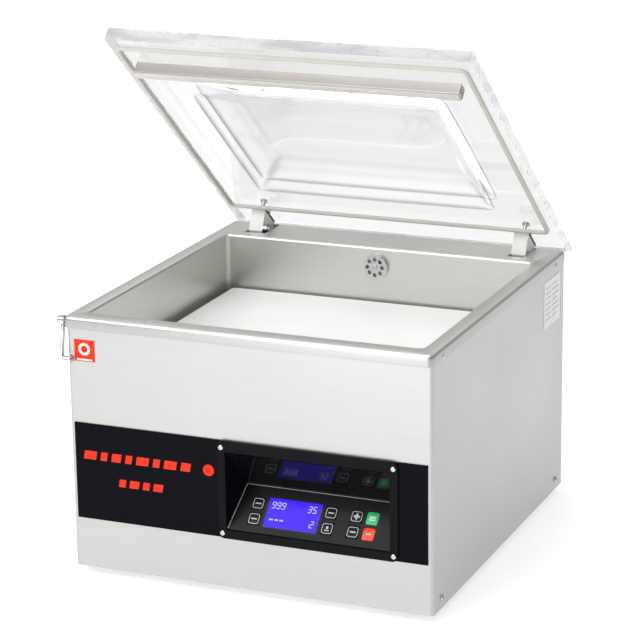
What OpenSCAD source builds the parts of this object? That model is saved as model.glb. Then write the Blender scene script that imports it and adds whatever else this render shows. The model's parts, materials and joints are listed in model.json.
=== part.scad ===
// Table-top vacuum packing machine with a clear hinged lid.
// Machine frame: x = 0 on the middle of the housing, y = 0 on the front of the top rim,
// z = 0 on the table. in_frame() moves it so the origin is under the middle of the whole box.

/* [Overall] */
// Width of the top rim
machine_w = 490; // [420:1:600]
// Depth of the top rim, front to back
machine_d = 518; // [490:1:640]
// Housing height, from its bottom edge to the top of the rim
body_h = 332; // [300:1:420]
// Height of the rubber feet below the housing
foot_h = 10; // [8:1:20]

/* [Casing] */
// Thickness of the housing sheet
sheet_t = 1.2; // [1:0.1:2]
// Thickness of the rim's top plate
rim_t = 3; // [2:0.5:4]
// Height of the rim's turned-down edge
rim_h = 15; // [12:1:20]
// Thickness of the rim's turned-down edge
rim_edge_t = 1.5; // [1:0.1:2]
// Plan radius of the rim's corners
rim_r = 8; // [4:1:9]
// How far the rim stands over the front panel
front_step = 6; // [4:0.5:8]
// How far the rim stands over each side panel
side_step = 2; // [1.8:0.1:4]
// How far the rim stands over the rear panel
rear_step = 2; // [1.8:0.1:4]
// Bend radius of the housing's front corners
corner_r = 5; // [3:0.5:8]
// Diameter of a rubber foot
foot_d = 30; // [20:1:36]
// Distance of a foot's centre from the housing's edges
foot_inset = 48; // [40:1:60]

/* [Chamber] */
// Width of the chamber opening
chamber_w = 446; // [380:1:450]
// Width of the flat rim in front of the chamber
rim_front = 26.5; // [24:0.5:32]
// Width of the hinge shelf behind the chamber
shelf = 76.5; // [74:0.5:90]
// Depth of the chamber below the rim
chamber_depth = 115; // [100:1:130]
// Wall thickness of the chamber tub
tub_t = 1.5; // [1:0.1:2]
// Plan radius of the chamber's corners
chamber_r = 6; // [3:1:12]
// Thickness of each white insert plate
plate_t = 20; // [10:1:24]
// Side gap between an insert plate and the chamber wall
plate_side = 12; // [6:1:20]
// Diameter of the suction cover on the rear wall
suction_d = 35; // [28:1:44]
// Depth of the suction cover's centre below the rim
suction_drop = 26.5; // [24:0.5:40]

/* [Seal bar] */
// Length of the seal bar
seal_l = 430; // [340:1:434]
// Width of the seal bar
seal_w = 12; // [10:1:16]
// Height of the seal bar's metal
seal_h = 20; // [16:1:26]
// Lift of the seal bar when it seals
seal_lift = 8; // [5:1:10]
// Distance of the seal line behind the rim's front
seal_y = 62; // [56:1:70]
// Half the distance between the two lift cylinders
lift_x = 140; // [100:5:160]

/* [Lid] */
// Width of the lid
lid_w = 486; // [420:1:600]
// Thickness of the lid plate
lid_t = 17.5; // [12:0.5:20]
// Gap between rim and lid when closed, which the gasket fills
lid_gap = 5; // [4:0.5:7]
// Angle that the lid stands open
lid_open = 40; // [30:1:45]
// Lid's front edge behind the rim's front edge
lid_inset = 2; // [0:0.5:6]
// Reach of the lid behind the hinge axis
lid_reach = 30; // [24:1:36]
// Width of the dome at the lid's inner face
dome_w = 340; // [260:5:360]
// Length of the dome at the lid's inner face
dome_l = 277; // [200:1:290]
// Depth of the dome's hollow
dome_h = 28; // [20:1:40]
// Run of the dome's front slope for each unit of its depth
dome_run = 2; // [1:0.1:2.4]
// Width of the lid gasket
gasket_w = 6; // [4:0.5:8]
// Height of the counter bar below the lid
counter_h = 14; // [10:0.5:16]
// Width of the counter bar
counter_w = 15; // [13:0.5:18]
// Length of the counter bar
counter_l = 436; // [340:1:438]
// Width of the silicone strip in the counter bar
strip_w = 11; // [8:0.5:12]
// How far the silicone strip stands out of the counter bar
strip_out = 4; // [2:0.5:6]

/* [Hinge] */
// Hinge axis behind the rim's front edge, counted back from the rim's rear edge
axis_in = 12; // [12:0.5:16]
// Hinge axis below the rim's top
axis_drop = 17; // [15:0.5:20]
// Radius of the hinge shaft
shaft_r = 5; // [4:0.5:6]
// Radius of the hinge block's boss
boss_r = 8; // [7:0.5:9]
// Half the distance between the two hinge blocks
hinge_x = 192.5; // [160:0.5:200]
// Width of a hinge block
block_w = 20; // [16:1:24]
// Length of a hinge block's seat on the lid, in front of the axis
block_l = 45; // [40:1:46]
// Thickness of the pad between block and lid
pad_t = 2; // [1:0.5:3]

/* [Front panel] */
// Height of the black fascia
fascia_h = 127; // [110:1:140]
// Bottom of the fascia above the housing's bottom edge
fascia_up = 66; // [50:1:80]
// Gap between fascia and the housing's side
fascia_side = 6.5; // [6:0.5:12]
// Thickness of the fascia
fascia_t = 1.5; // [1:0.5:3]
// Width of the control bezel
bezel_w = 238; // [230:1:250]
// Middle of the control bezel, to the right of the housing's middle
bezel_x = 80; // [40:1:100]
// Front of the bezel ahead of the housing panel
bezel_out = 4; // [2.5:0.5:5]
// Width of the control recess
recess_w = 217; // [210:1:222]
// Height of the control recess
recess_h = 102; // [96:1:104]
// Bottom of the recess above the bezel's bottom edge
recess_up = 11.5; // [11:0.5:14]
// Slope of the keypad from the horizontal
keypad_slope = 46.5; // [40:0.5:55]
// Length of the keypad up its slope
keypad_l = 66; // [64:0.5:68]
// Side of the recess that slopes in towards the back
recess_draft = 9; // [4:0.5:12]
// Width of a key
key_w = 15.6; // [12:0.1:17]
// Height of a key up the slope
key_l = 16.6; // [12:0.1:17.5]
// Travel of a key
key_travel = 0.8; // [0.4:0.1:1.2]

/* [Lid catch] */
// Radius of the catch rod
rod_r = 3; // [2:0.25:3.5]
// Length of the catch from its pivot to its foot
catch_l = 49; // [45:1:60]
// Pivot behind the rim's front edge
catch_y = 10; // [9:0.5:20]
// Pivot below the rim's top
catch_drop = 8; // [7:0.5:9]
// Radius of the catch's rubber tip
tip_r = 4.5; // [4:0.25:5]

/* [Pump] */
// Radius of the pump motor
motor_r = 62; // [50:1:64]
// Length of the pump motor
motor_l = 150; // [120:1:160]
// Width of the pump body, along the shaft
pump_l = 120; // [90:1:130]
// Width of the oil case, along the shaft
oil_l = 110; // [80:1:120]
// Diameter of the vacuum hose
hose_d = 18; // [14:1:22]

/* [Hidden] */
$fn = 48;

// Clearances, each named once
rest_gap = 0.3;      // between bodies that move past each other
turn_gap = 0.05;     // radial, shaft in bearing
slide_gap = 0.08;    // radial, piston in guide
seat_gap = 0.1;      // between a piece and the seat that holds it
eps = 0.01;          // overshoot of a cut past a face

// Colours
steel = [0.80, 0.80, 0.79];
dark_steel = [0.62, 0.61, 0.59];
black = [0.11, 0.12, 0.13];
white = [0.95, 0.95, 0.95];
silicone = [0.86, 0.84, 0.76];
clear = [0.88, 0.93, 0.94, 0.35];

// Heights
rim_top = foot_h + body_h;
plate_under = rim_top - rim_t;
body_z = foot_h;

// Housing
body_w = machine_w - 2 * side_step;
body_front = front_step;
body_rear = machine_d - rear_step;

// Chamber
chamber_l = machine_d - rim_front - shelf;
chamber_rear = rim_front + chamber_l;
tub_floor = rim_top - chamber_depth;
floor_t = 2;
plate_w = chamber_w - 2 * plate_side;
suction_t = 5;
suction_head_t = 1.6;
plate_rear = chamber_rear - suction_t - suction_head_t - 2 * rest_gap;
plate_front = seal_y + seal_w / 2 + 12;
plate_l = plate_rear - plate_front;
suction_z = rim_top - suction_drop;
port_r = 8;

// Seal bar: its top stops a rest gap short of the counter strip when lifted
strip_bottom = rim_top + lid_gap - counter_h - strip_out;
band_t = 1.2;
seal_top = strip_bottom - rest_gap - seal_lift - band_t;
seal_bottom = seal_top - seal_h;
piston_r = 6;
cylinder_r = 15;
cylinder_h = 42;

// Lid, drawn closed and then swung open about the hinge axis
axis_y = machine_d - axis_in;
axis_z = rim_top - axis_drop;
lid_in = rim_top + lid_gap;
lid_out = lid_in + lid_t;
lid_l = axis_y + lid_reach - lid_inset;
rear_cut_l = 22;     // bevel under the lid's rear edge
rear_cut_h = 12;
lid_r = 3;
gasket_x = chamber_w / 2 + 9;
gasket_front = rim_front - 7.5;
gasket_rear = chamber_rear + 13.5;
gasket_r = 8;
groove_d = 3;
dome_front = 125;
dome_mid = dome_front + dome_l / 2;

// Hinge
block_top = lid_in - pad_t;
pad_out = 0.8;
slot_front = gasket_rear + gasket_w / 2 + 1.5;
slot_rear = machine_d - rim_edge_t - 1.5;
// The block's rear edge under the lid stays ahead of the slot's end when open
block_tail = max(5, ((block_top - axis_z) * sin(lid_open) - (slot_rear - axis_y - 1)) / cos(lid_open));
slot_side = 1.2;
slot_spare = 8.5;    // room beside the left block for the gas spring's eye
stud_back = 33;      // stud in front of the hinge axis, lid closed
stud_down = 3;       // stud below the hinge axis, lid closed
stud_r = 3;
eye_gap = 2.3;       // play of the open pivot between stud and eye
eye_r = stud_r + eye_gap + 1.7;
eye_t = 6;
spring_x = -hinge_x + block_w / 2 + 0.8 + eye_t / 2;
stud_y = axis_y - stud_back * cos(lid_open) - stud_down * sin(lid_open);
stud_z = axis_z + stud_back * sin(lid_open) - stud_down * cos(lid_open);
spring_l = 169;
tube_r = 7.5;
tube_l = 102;
tube_foot = 10;
spring_rod_r = 3;
stroke = 22;
bolt_r = 3;
bolt_back = [12, 35];
bracket_t = 6;

// Control panel
panel_y = body_front;
fascia_z = body_z + fascia_up;
bezel_h = fascia_h + 1;
bezel_z = fascia_z - 0.5;
bezel_r = 8;
bezel_y = panel_y - bezel_out;
recess_z = bezel_z + recess_up;
recess_d = keypad_l * cos(keypad_slope);
recess_rise = keypad_l * sin(keypad_slope);
pocket_t = 2;
panel_t = 1.5;
panel_trim = 0.4;
window_slope = atan(recess_d / (recess_h - recess_rise));
window_l = sqrt(recess_d * recess_d + (recess_h - recess_rise) * (recess_h - recess_rise));
key_rows = [19.7, 40.6];
key_cols = [-76.3, 21.2, 55, 75.8];
key_gap = 0.35;
key_h = 2.2;
key_proud = 0.6;
key_flange = 1.2;
display_x = -27.6;
display_s = 31;
display_w = 70.4;
display_h = 39.6;
board_drop = 9;

// Catch: it hangs with its tip against the front panel
catch_x = -(machine_w / 2 + 1.3 + rod_r);
catch_z = rim_top - catch_drop;
catch_foot_y = body_front - tip_r - rest_gap;
catch_rest = asin((catch_y - catch_foot_y) / catch_l);
catch_end = -machine_w / 2 + 1;
tip_l = 9;
pivot_r = 3;
pivot_head_r = 5;
pivot_head_t = 3.5;

// Pump group, its shaft along x
pump_y = axis_y - 81;
pump_z = foot_h + 85;
pump_x = -45;
motor_x = pump_x - motor_l;
fan_gap = 26;
bay_z = body_z + sheet_t;
hose_y = axis_y - 40;
valve_w = 60;
valve_d = 42;
valve_h = 44;

// The whole box at rest, which sets the origin
x_min = catch_x - rod_r - pivot_head_t - 0.5;
rim_head_t = 0.8;
side_head_t = 2.4;
x_max = max(machine_w / 2 + rim_head_t, body_w / 2 + side_head_t);
y_max = axis_y + lid_reach * cos(lid_open) + (lid_out - axis_z) * sin(lid_open);
frame_x = (x_min + x_max) / 2;
frame_y = (min(0, catch_foot_y - tip_r) + y_max) / 2;

module in_frame() {
    translate([-frame_x, -frame_y, 0]) children();
}

// Swings what is drawn on the closed lid up to where it rests, open
module on_lid() {
    in_frame() translate([0, axis_y, axis_z]) rotate([-lid_open, 0, 0])
        translate([0, -axis_y, -axis_z]) children();
}

// Local y runs up the keypad's slope and local z out of it
module on_keypad() {
    in_frame() translate([bezel_x, bezel_y, recess_z]) rotate([keypad_slope, 0, 0]) children();
}

// Local y runs up the upper window and local z out of it, towards the keypad
module on_window() {
    in_frame() translate([bezel_x, bezel_y, recess_z + recess_h]) rotate([90 + window_slope, 0, 0])
        children();
}

// Local -z runs down the catch's arm from its pivot
module on_catch() {
    in_frame() translate([0, catch_y, catch_z]) rotate([-catch_rest, 0, 0]) children();
}

module along_x(x, r, l) {
    translate([x, 0, 0]) rotate([0, 90, 0]) cylinder(r = r, h = l);
}

module along_y(y, r, l) {
    translate([0, y, 0]) rotate([-90, 0, 0]) cylinder(r = r, h = l);
}

// Upright plate with rounded plan corners, its middle at x = 0 and its front at y = 0
module rounded_plate(w, l, h, r) {
    translate([-w / 2 + r, 0, 0]) cube([w - 2 * r, l, h]);
    translate([-w / 2, r, 0]) cube([w, l - 2 * r, h]);
    for (x = [-w / 2 + r, w / 2 - r], y = [r, l - r])
        translate([x, y, 0]) cylinder(r = r, h = h);
}

// Plate standing in the x-z plane, its middle at x = 0, its bottom at z = 0, t thick towards +y
module rounded_front(w, h, t, r) {
    translate([0, t, 0]) rotate([90, 0, 0]) rounded_plate(w, h, t, r);
}

// Prism along x from a side view drawn as [y, z] points
module side_prism(w, points) {
    translate([-w / 2, 0, 0]) rotate([90, 0, 90]) linear_extrude(height = w) polygon(points);
}

// The dome's hollow, or with t above zero the same form moved outwards by t in height
module dome_solid(t) {
    h = dome_h + t;
    w = dome_w + 2 * t;
    front = -dome_l / 2 - t * dome_run;
    rear = dome_l / 2 + t;
    intersection() {
        side_prism(w, [[front, 0], [rear, 0], [rear - h, h], [front + h * dome_run, h]]);
        translate([0, (front + rear) / 2, 0]) rotate([0, 0, 90])
            side_prism(rear - front, [[-w / 2, 0], [w / 2, 0], [w / 2 - h, h], [-w / 2 + h, h]]);
    }
}

// ---- Casing ----

module housing_shell() {
    color(steel) in_frame() difference() {
        translate([0, body_front, body_z]) union() {
            rounded_plate(body_w, 2 * corner_r, plate_under - body_z, corner_r);
            for (s = [-1, 1])
                translate([s > 0 ? body_w / 2 - corner_r : -body_w / 2, corner_r, 0])
                    cube([corner_r, body_rear - body_front - corner_r - sheet_t, plate_under - body_z]);
        }
        translate([0, body_front + sheet_t, body_z - eps])
            rounded_plate(body_w - 2 * sheet_t, machine_d, plate_under, corner_r - sheet_t);
        recess_cutout();
        for (y = [screw_front, screw_rear]) translate([0, y, body_z + 14])
            along_x(-machine_w, 2, 2 * machine_w);
        rim_screw_holes();
        catch_pivot_hole();
        outside_rim_bore();
    }
}

// What lies outside the rim's turned-down edge, at its height
module outside_rim_bore() {
    g = rim_edge_t + seat_gap;
    difference() {
        translate([-machine_w, -20, rim_top - rim_h - rest_gap]) cube([2 * machine_w, machine_d + 40, rim_h]);
        translate([0, g, 0]) rounded_plate(machine_w - 2 * g, machine_d - 2 * g, rim_top + 1, rim_r - g);
    }
}

module rim_screw_holes() {
    for (y = rim_screw_ys) translate([0, y, rim_top - rim_screw_drop]) along_x(-machine_w, 2, 2 * machine_w);
}

module catch_pivot_hole() {
    translate([-machine_w, catch_y, catch_z]) rotate([0, 90, 0])
        cylinder(r = pivot_r - rest_gap, h = machine_w / 2 + 10);
}

screw_front = 36;
screw_rear = machine_d - 30;
rim_screw_ys = [screw_front, machine_d - 44];
rim_screw_drop = 10.4;
louvre_w = 60;
louvre_pitch = 10;

module rear_panel() {
    w = body_w - 2 * sheet_t - 2 * seat_gap;
    color(steel) in_frame() difference() {
        union() {
            translate([-w / 2, body_rear - sheet_t, body_z]) cube([w, sheet_t, plate_under - body_z]);
            for (s = [-1, 1]) translate([s > 0 ? w / 2 - sheet_t : -w / 2, body_rear - 12, body_z + 24])
                cube([sheet_t, 12, 180]);
        }
        for (x = [-150, -75, 60, 135], i = [0 : 6])
            translate([x - louvre_w / 2, body_rear - 6, body_z + 190 + i * louvre_pitch])
                cube([louvre_w, 12, 4]);
        translate([inlet_x - 25, body_rear - 6, inlet_z - 15]) cube([50, 12, 30]);
        translate([glass_x, 0, glass_z]) along_y(body_rear - 6, 22, 12);
        for (x = [-body_w / 2 + 24, 0, body_w / 2 - 24], z = [body_z + 14, rim_top - 40])
            translate([x, 0, z]) along_y(body_rear - 6, 2, 12);
        outside_rim_bore();
    }
}

inlet_x = -185;
inlet_z = foot_h + 60;
glass_x = pump_x + pump_l + 5 + oil_l / 2;
glass_z = pump_z - 10;
tray_h = 24;

module base_plate() {
    w = body_w - 2 * sheet_t - 2 * seat_gap;
    l = body_rear - sheet_t - body_front - sheet_t - 2 * seat_gap;
    color(dark_steel) in_frame() translate([0, body_front + sheet_t + seat_gap, body_z]) difference() {
        union() {
            translate([-w / 2 + corner_r, 0, 0]) cube([w - 2 * corner_r, l, sheet_t]);
            translate([-w / 2, corner_r, 0]) cube([w, l - corner_r, sheet_t]);
            for (s = [-1, 1]) translate([s > 0 ? w / 2 - sheet_t : -w / 2, corner_r, 0])
                cube([sheet_t, l - corner_r - 14, tray_h]);
        }
        for (y = [screw_front, screw_rear]) translate([0, y - body_front - sheet_t - seat_gap, 14])
            along_x(-machine_w, 2, 2 * machine_w);
        for (x = foot_xs, y = foot_ys)
            translate([x, y - body_front - sheet_t - seat_gap, -eps]) cylinder(r = 3, h = 10);
        for (i = [0 : 5]) translate([-60 + i * 24, 180, -eps]) cube([8, 90, 10]);
    }
}

foot_xs = [-body_w / 2 + foot_inset, body_w / 2 - foot_inset];
foot_ys = [body_front + foot_inset, body_rear - foot_inset];

module feet() {
    color(black) in_frame() for (x = foot_xs, y = foot_ys) translate([x, y, 0]) {
        cylinder(r1 = foot_d / 2 - 2, r2 = foot_d / 2, h = foot_h);
        cylinder(r = 3 - seat_gap, h = foot_h + sheet_t + 3);
    }
}

module top_rim() {
    color(steel) in_frame() difference() {
        translate([0, 0, rim_top - rim_h]) rounded_plate(machine_w, machine_d, rim_h, rim_r);
        translate([0, rim_edge_t, rim_top - rim_h - eps])
            rounded_plate(machine_w - 2 * rim_edge_t, machine_d - 2 * rim_edge_t, rim_h - rim_t + eps,
                rim_r - rim_edge_t);
        translate([0, rim_front, plate_under - 1])
            rounded_plate(chamber_w, chamber_l, rim_t + 2, chamber_r);
        for (s = [-1, 1]) translate([s * hinge_x - block_w / 2 - slot_side, slot_front, plate_under - 1])
            cube([block_w + 2 * slot_side + (s < 0 ? slot_spare : 0), slot_rear - slot_front, rim_t + 2]);
        rim_screw_holes();
        catch_pivot_hole();
    }
}

module chamber_tub() {
    h = plate_under - tub_floor;
    color(dark_steel) in_frame() difference() {
        translate([0, rim_front - tub_t, tub_floor - floor_t])
            rounded_plate(chamber_w + 2 * tub_t, chamber_l + 2 * tub_t, h + floor_t, chamber_r + tub_t);
        translate([0, rim_front, tub_floor]) rounded_plate(chamber_w, chamber_l, h + 1, chamber_r);
        translate([0, 0, suction_z]) along_y(chamber_rear - 5, port_r, 10);
        for (s = [-1, 1]) translate([s * lift_x, seal_y, tub_floor - 10])
            cylinder(r = piston_r + slide_gap, h = 20);
    }
}

// Pan-head screw along +y, its head standing out towards -y
module pan_screw(head_r, head_t, shank_r, shank_l) {
    along_y(-head_t, head_r, head_t);
    along_y(-eps, shank_r, shank_l);
}

module casing_screws() {
    shank = 2 - seat_gap;
    color(dark_steel) in_frame() {
        for (s = [-1, 1]) {
            for (y = [screw_front, screw_rear]) translate([s * body_w / 2, y, body_z + 14])
                rotate([0, 0, s * 90]) pan_screw(4.2, side_head_t, shank, 6);
            for (y = rim_screw_ys) translate([s * machine_w / 2, y, rim_top - rim_screw_drop])
                rotate([0, 0, s * 90]) pan_screw(3.4, rim_head_t, shank, rim_edge_t + side_step + 2);
        }
        for (x = [-body_w / 2 + 24, 0, body_w / 2 - 24], z = [body_z + 14, rim_top - 40])
            translate([x, body_rear, z]) rotate([0, 0, 180]) pan_screw(4.2, side_head_t, shank, 6);
    }
}

module rating_label() {
    color(white) in_frame() translate([body_w / 2, machine_d - 88, rim_top - 89]) cube([0.4, 68, 64]);
}

module badge() {
    color([0.9, 0.22, 0.1]) in_frame()
        translate([-body_w / 2 + 10, panel_y - 0.6, rim_top - 58]) cube([28, 0.6, 28]);
}

// ---- Control panel ----

module fascia() {
    w = body_w - 2 * fascia_side;
    color(black) in_frame() difference() {
        translate([-w / 2, panel_y - fascia_t, fascia_z]) cube([w, fascia_t, fascia_h]);
        recess_cutout();
    }
}

// Side view of the recess, [y, z] from its lower front edge, its two sloping faces moved out by g
function recess_side(g) =
    let (turn = cos(keypad_slope - window_slope),
        dy = g * (sin(window_slope) + cos(keypad_slope)) / turn,
        dz = g * (sin(keypad_slope) - cos(window_slope)) / turn)
    [[-lip, -lip * tan(keypad_slope) - g / cos(keypad_slope)],
        [recess_d + dy, recess_rise + dz],
        [-lip, recess_h + (g + lip * cos(window_slope)) / sin(window_slope)]];

function recess_half(y) = recess_w / 2 - recess_draft * y / recess_d;

lip = 4;             // how far the recess's faces are carried on ahead of its mouth
deep = 60;

// The recess as a solid, its sloping faces moved out by g and its drafted sides by side
module recess_solid(g, side) {
    translate([bezel_x, bezel_y, recess_z]) intersection() {
        side_prism(machine_w, recess_side(g));
        translate([0, 0, -side]) linear_extrude(height = recess_h + 2 * side) polygon([
            [-recess_half(-lip) - side, -lip], [recess_half(-lip) + side, -lip],
            [recess_half(deep) + side, deep], [-recess_half(deep) - side, deep]]);
        translate([-recess_w / 2 - side, 0, -side]) cube([recess_w + 2 * side, deep, recess_h + 2 * side]);
    }
}

// Hole that the pocket passes through
module recess_cutout() {
    m = pocket_t + rest_gap;
    translate([bezel_x - recess_w / 2 - m, -10, recess_z - m])
        cube([recess_w + 2 * m, 30, recess_h + 2 * m]);
}

module control_bezel() {
    color(black) in_frame() difference() {
        union() {
            translate([bezel_x, bezel_y, bezel_z])
                rounded_front(bezel_w, bezel_h, bezel_out - fascia_t, bezel_r);
            recess_solid(panel_t + seat_gap + pocket_t, pocket_t);
        }
        recess_solid(panel_t + seat_gap, 0);
        translate([bezel_x - recess_half(0), bezel_y - 1, recess_z]) cube([recess_w, 1 + eps, recess_h]);
        for (p = bezel_screw_at) translate([p[0], 0, p[1]]) along_y(-20, 1.5, 60);
        translate([bezel_x, bezel_y, recess_z]) rotate([keypad_slope, 0, 0])
            translate([-recess_w / 2 + 22, 6, -20]) cube([recess_w - 44, keypad_l - 12, 40]);
    }
}

bezel_screw_at = [for (sx = [-1, 1], z = [bezel_z + 7, bezel_z + bezel_h - 9])
    [bezel_x + sx * (bezel_w / 2 - 5.5), z]];

module bezel_screws() {
    color(steel) in_frame() for (p = bezel_screw_at) translate([p[0], bezel_y, p[1]])
        pan_screw(3.4, 1.8, 1.5 - seat_gap, bezel_out - fascia_t);
}

module keypad_panel() {
    start = panel_t / tan(keypad_slope) + 2 * seat_gap;
    color(black) on_keypad() difference() {
        translate([0, 0, -panel_t]) linear_extrude(height = panel_t) polygon([
            [-recess_w / 2 + 1, start], [recess_w / 2 - 1, start],
            [recess_w / 2 - recess_draft - panel_trim, keypad_l - panel_trim],
            [-recess_w / 2 + recess_draft + panel_trim, keypad_l - panel_trim]]);
        for (x = key_cols, s = key_rows)
            translate([x - key_w / 2 - key_gap, s - key_l / 2 - key_gap, -20])
                cube([key_w + 2 * key_gap, key_l + 2 * key_gap, 40]);
        translate([display_x - display_w / 2, display_s - display_h / 2, -20])
            cube([display_w, display_h, 40]);
    }
}

module upper_window() {
    start = panel_t * tan(window_slope) + 2 * seat_gap;
    color(black) on_window() translate([0, 0, -panel_t]) linear_extrude(height = panel_t) polygon([
        [-recess_w / 2 + 1, -start], [recess_w / 2 - 1, -start],
        [recess_w / 2 - recess_draft - panel_trim, panel_trim - window_l],
        [-recess_w / 2 + recess_draft + panel_trim, panel_trim - window_l]]);
}

module display() {
    color([0.2, 0.1, 1]) on_keypad()
        translate([display_x - display_w / 2 + seat_gap, display_s - display_h / 2 + seat_gap, -7])
            cube([display_w - 2 * seat_gap, display_h - 2 * seat_gap, 7 - 0.3]);
}

// Key i: columns run left to right, the upper key of each pair first
module key(i) {
    x = key_cols[floor(i / 2)];
    s = key_rows[1 - i % 2];
    shade = i == 6 ? [0.18, 0.7, 0.42] : i == 7 ? [0.95, 0.25, 0.1] : black;
    color(shade) on_keypad() translate([x, s, 0]) {
        translate([-key_w / 2, -key_l / 2, -key_h]) cube([key_w, key_l, key_h + key_proud]);
        translate([-key_w / 2 - key_flange, -key_l / 2 - key_flange, -key_h - key_flange])
            cube([key_w + 2 * key_flange, key_l + 2 * key_flange, key_flange]);
    }
}

module control_board() {
    w = recess_w - 48;
    color([0.1, 0.35, 0.2]) on_keypad() {
        translate([-w / 2, 8, -board_drop - 1.6]) cube([w, keypad_l - 18, 1.6]);
        for (x = key_cols, s = key_rows) translate([x, s, -board_drop - eps])
            cylinder(r = 3, h = board_drop - key_h - key_flange - key_travel - rest_gap);
        translate([-w / 2 + 14, 14, -board_drop - 10]) cube([18, 24, 8.5]);
        translate([w / 2 - 40, 14, -board_drop - 14]) cube([26, 20, 12.5]);
    }
}

// ---- Chamber fittings ----

module insert_plate(level) {
    z = tub_floor + rest_gap + level * (plate_t + rest_gap);
    color(white) in_frame() translate([0, plate_front, z]) rounded_plate(plate_w, plate_l, plate_t, 6);
}

module insert_plate_lower() insert_plate(0);

module insert_plate_upper() insert_plate(1);

module seal_bar() {
    color(steel) in_frame() translate([0, seal_y, seal_bottom]) difference() {
        translate([-seal_l / 2, -seal_w / 2, 0]) cube([seal_l, seal_w, seal_h]);
        for (s = [-1, 1]) translate([-seal_l / 2 - 1, s * seal_w / 2 - 1, seal_h / 2 - 2])
            cube([seal_l + 2, 2, 4]);
    }
}

module seal_band() {
    color([0.55, 0.4, 0.26]) in_frame() translate([-seal_l / 2 + 5, seal_y - seal_w / 2, seal_top])
        cube([seal_l - 10, seal_w, band_t]);
}

module lift_pistons() {
    color(steel) in_frame() for (s = [-1, 1])
        translate([s * lift_x, seal_y, tub_floor - floor_t - cylinder_h + seal_lift + 6])
            cylinder(r = piston_r, h = seal_bottom - tub_floor + floor_t + cylinder_h - seal_lift - 6);
}

module lift_cylinders() {
    color(dark_steel) in_frame() for (s = [-1, 1])
        translate([s * lift_x, seal_y, tub_floor - floor_t - cylinder_h]) difference() {
            cylinder(r = cylinder_r, h = cylinder_h);
            translate([0, 0, 4]) cylinder(r = piston_r + slide_gap, h = cylinder_h);
        }
}

module suction_cover() {
    holes = 8;
    color(steel) in_frame() translate([0, chamber_rear, suction_z]) difference() {
        along_y(-suction_t, suction_d / 2, suction_t);
        along_y(-suction_t + 2, suction_d / 2 - 3, suction_t);
        along_y(-suction_t - 1, 1.6, suction_t + 2);
        for (i = [0 : holes - 1]) rotate([0, i * 360 / holes, 0])
            translate([suction_d * 0.31, 0, 0]) along_y(-suction_t - 1, suction_d * 0.085, suction_t + 2);
    }
}

module suction_screw() {
    color(dark_steel) in_frame() translate([0, chamber_rear - suction_t, suction_z])
        pan_screw(3, suction_head_t, 1.6 - seat_gap, suction_t + tub_t);
}

// ---- Lid ----

module lid_panel() {
    color(clear) on_lid() difference() {
        union() {
            translate([0, lid_inset, lid_in]) rounded_plate(lid_w, lid_l, lid_t, lid_r);
            translate([0, dome_mid, lid_in]) dome_solid(lid_t);
        }
        translate([0, dome_mid, lid_in - eps]) dome_solid(0);
        translate([0, lid_inset + lid_l, lid_in]) side_prism(lid_w + 2, [[-rear_cut_l, -eps], [1, -eps],
            [1, rear_cut_h], [0, rear_cut_h]]);
        gasket_ring(gasket_w + 2 * seat_gap, lid_in - eps, groove_d + eps + seat_gap);
        for (s = [-1, 1], b = bolt_back) translate([s * hinge_x, axis_y - b, lid_in - 1])
            cylinder(r = bolt_r + seat_gap, h = lid_t + 2);
    }
}

module gasket_ring(w, z, h) {
    l = gasket_rear - gasket_front;
    translate([0, gasket_front - w / 2, z]) difference() {
        rounded_plate(2 * gasket_x + w, l + w, h, gasket_r + w / 2);
        translate([0, w, -1]) rounded_plate(2 * gasket_x - w, l - w, h + 2, gasket_r - w / 2);
    }
}

module lid_gasket() {
    color(silicone) on_lid()
        gasket_ring(gasket_w, rim_top + rest_gap, lid_gap - rest_gap + groove_d);
}

module counter_bar() {
    color(steel) on_lid() translate([0, seal_y, lid_in - counter_h]) difference() {
        translate([-counter_l / 2, -counter_w / 2, 0]) cube([counter_l, counter_w, counter_h]);
        translate([-counter_l / 2 - 1, -strip_w / 2 - seat_gap, -1])
            cube([counter_l + 2, strip_w + 2 * seat_gap, 7]);
    }
}

module counter_strip() {
    color(silicone) on_lid() translate([-counter_l / 2, seal_y - strip_w / 2, lid_in - counter_h - strip_out])
        cube([counter_l, strip_w, strip_out + 6]);
}

// Side view of a block: seat under the lid, raked front, round boss on the hinge axis
module hinge_block(s) {
    top = block_top - axis_z;
    color(white) on_lid() translate([s * hinge_x, axis_y, axis_z]) difference() {
        union() {
            along_x(-block_w / 2, boss_r, block_w);
            side_prism(block_w, [[-block_l, top], [-block_tail, top], [boss_r * 0.8, boss_r * 0.6],
                [0, -boss_r], [-30, -14], [-37, -9]]);
        }
        along_x(-block_w, shaft_r + turn_gap, 2 * block_w);
        for (b = bolt_back) translate([0, -b, top - 12]) cylinder(r = bolt_r + seat_gap, h = 20);
        translate([0, -stud_back, -stud_down]) along_x(block_w / 2 - 8, stud_r + seat_gap, 20);
    }
}

module hinge_block_left() hinge_block(-1);

module hinge_block_right() hinge_block(1);

module hinge_pads() {
    color(black) on_lid() for (s = [-1, 1]) translate([s * hinge_x, axis_y, block_top]) difference() {
        translate([-block_w / 2 - pad_out, -block_l - pad_out, 0])
            cube([block_w + 2 * pad_out, block_l - block_tail + pad_out, pad_t]);
        for (b = bolt_back) translate([0, -b, -1]) cylinder(r = bolt_r + seat_gap, h = pad_t + 2);
    }
}

module hinge_bolts() {
    color(steel) on_lid() for (s = [-1, 1], b = bolt_back) translate([s * hinge_x, axis_y - b, lid_out]) {
        translate([0, 0, -lid_t - pad_t - 11]) cylinder(r = bolt_r, h = lid_t + pad_t + 11 + eps);
        cylinder(r = 5.5, h = 3.5);
    }
}

bracket_gap = slot_side + 2;
shaft_end = hinge_x + block_w / 2 + bracket_gap + bracket_t + 3;

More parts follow.
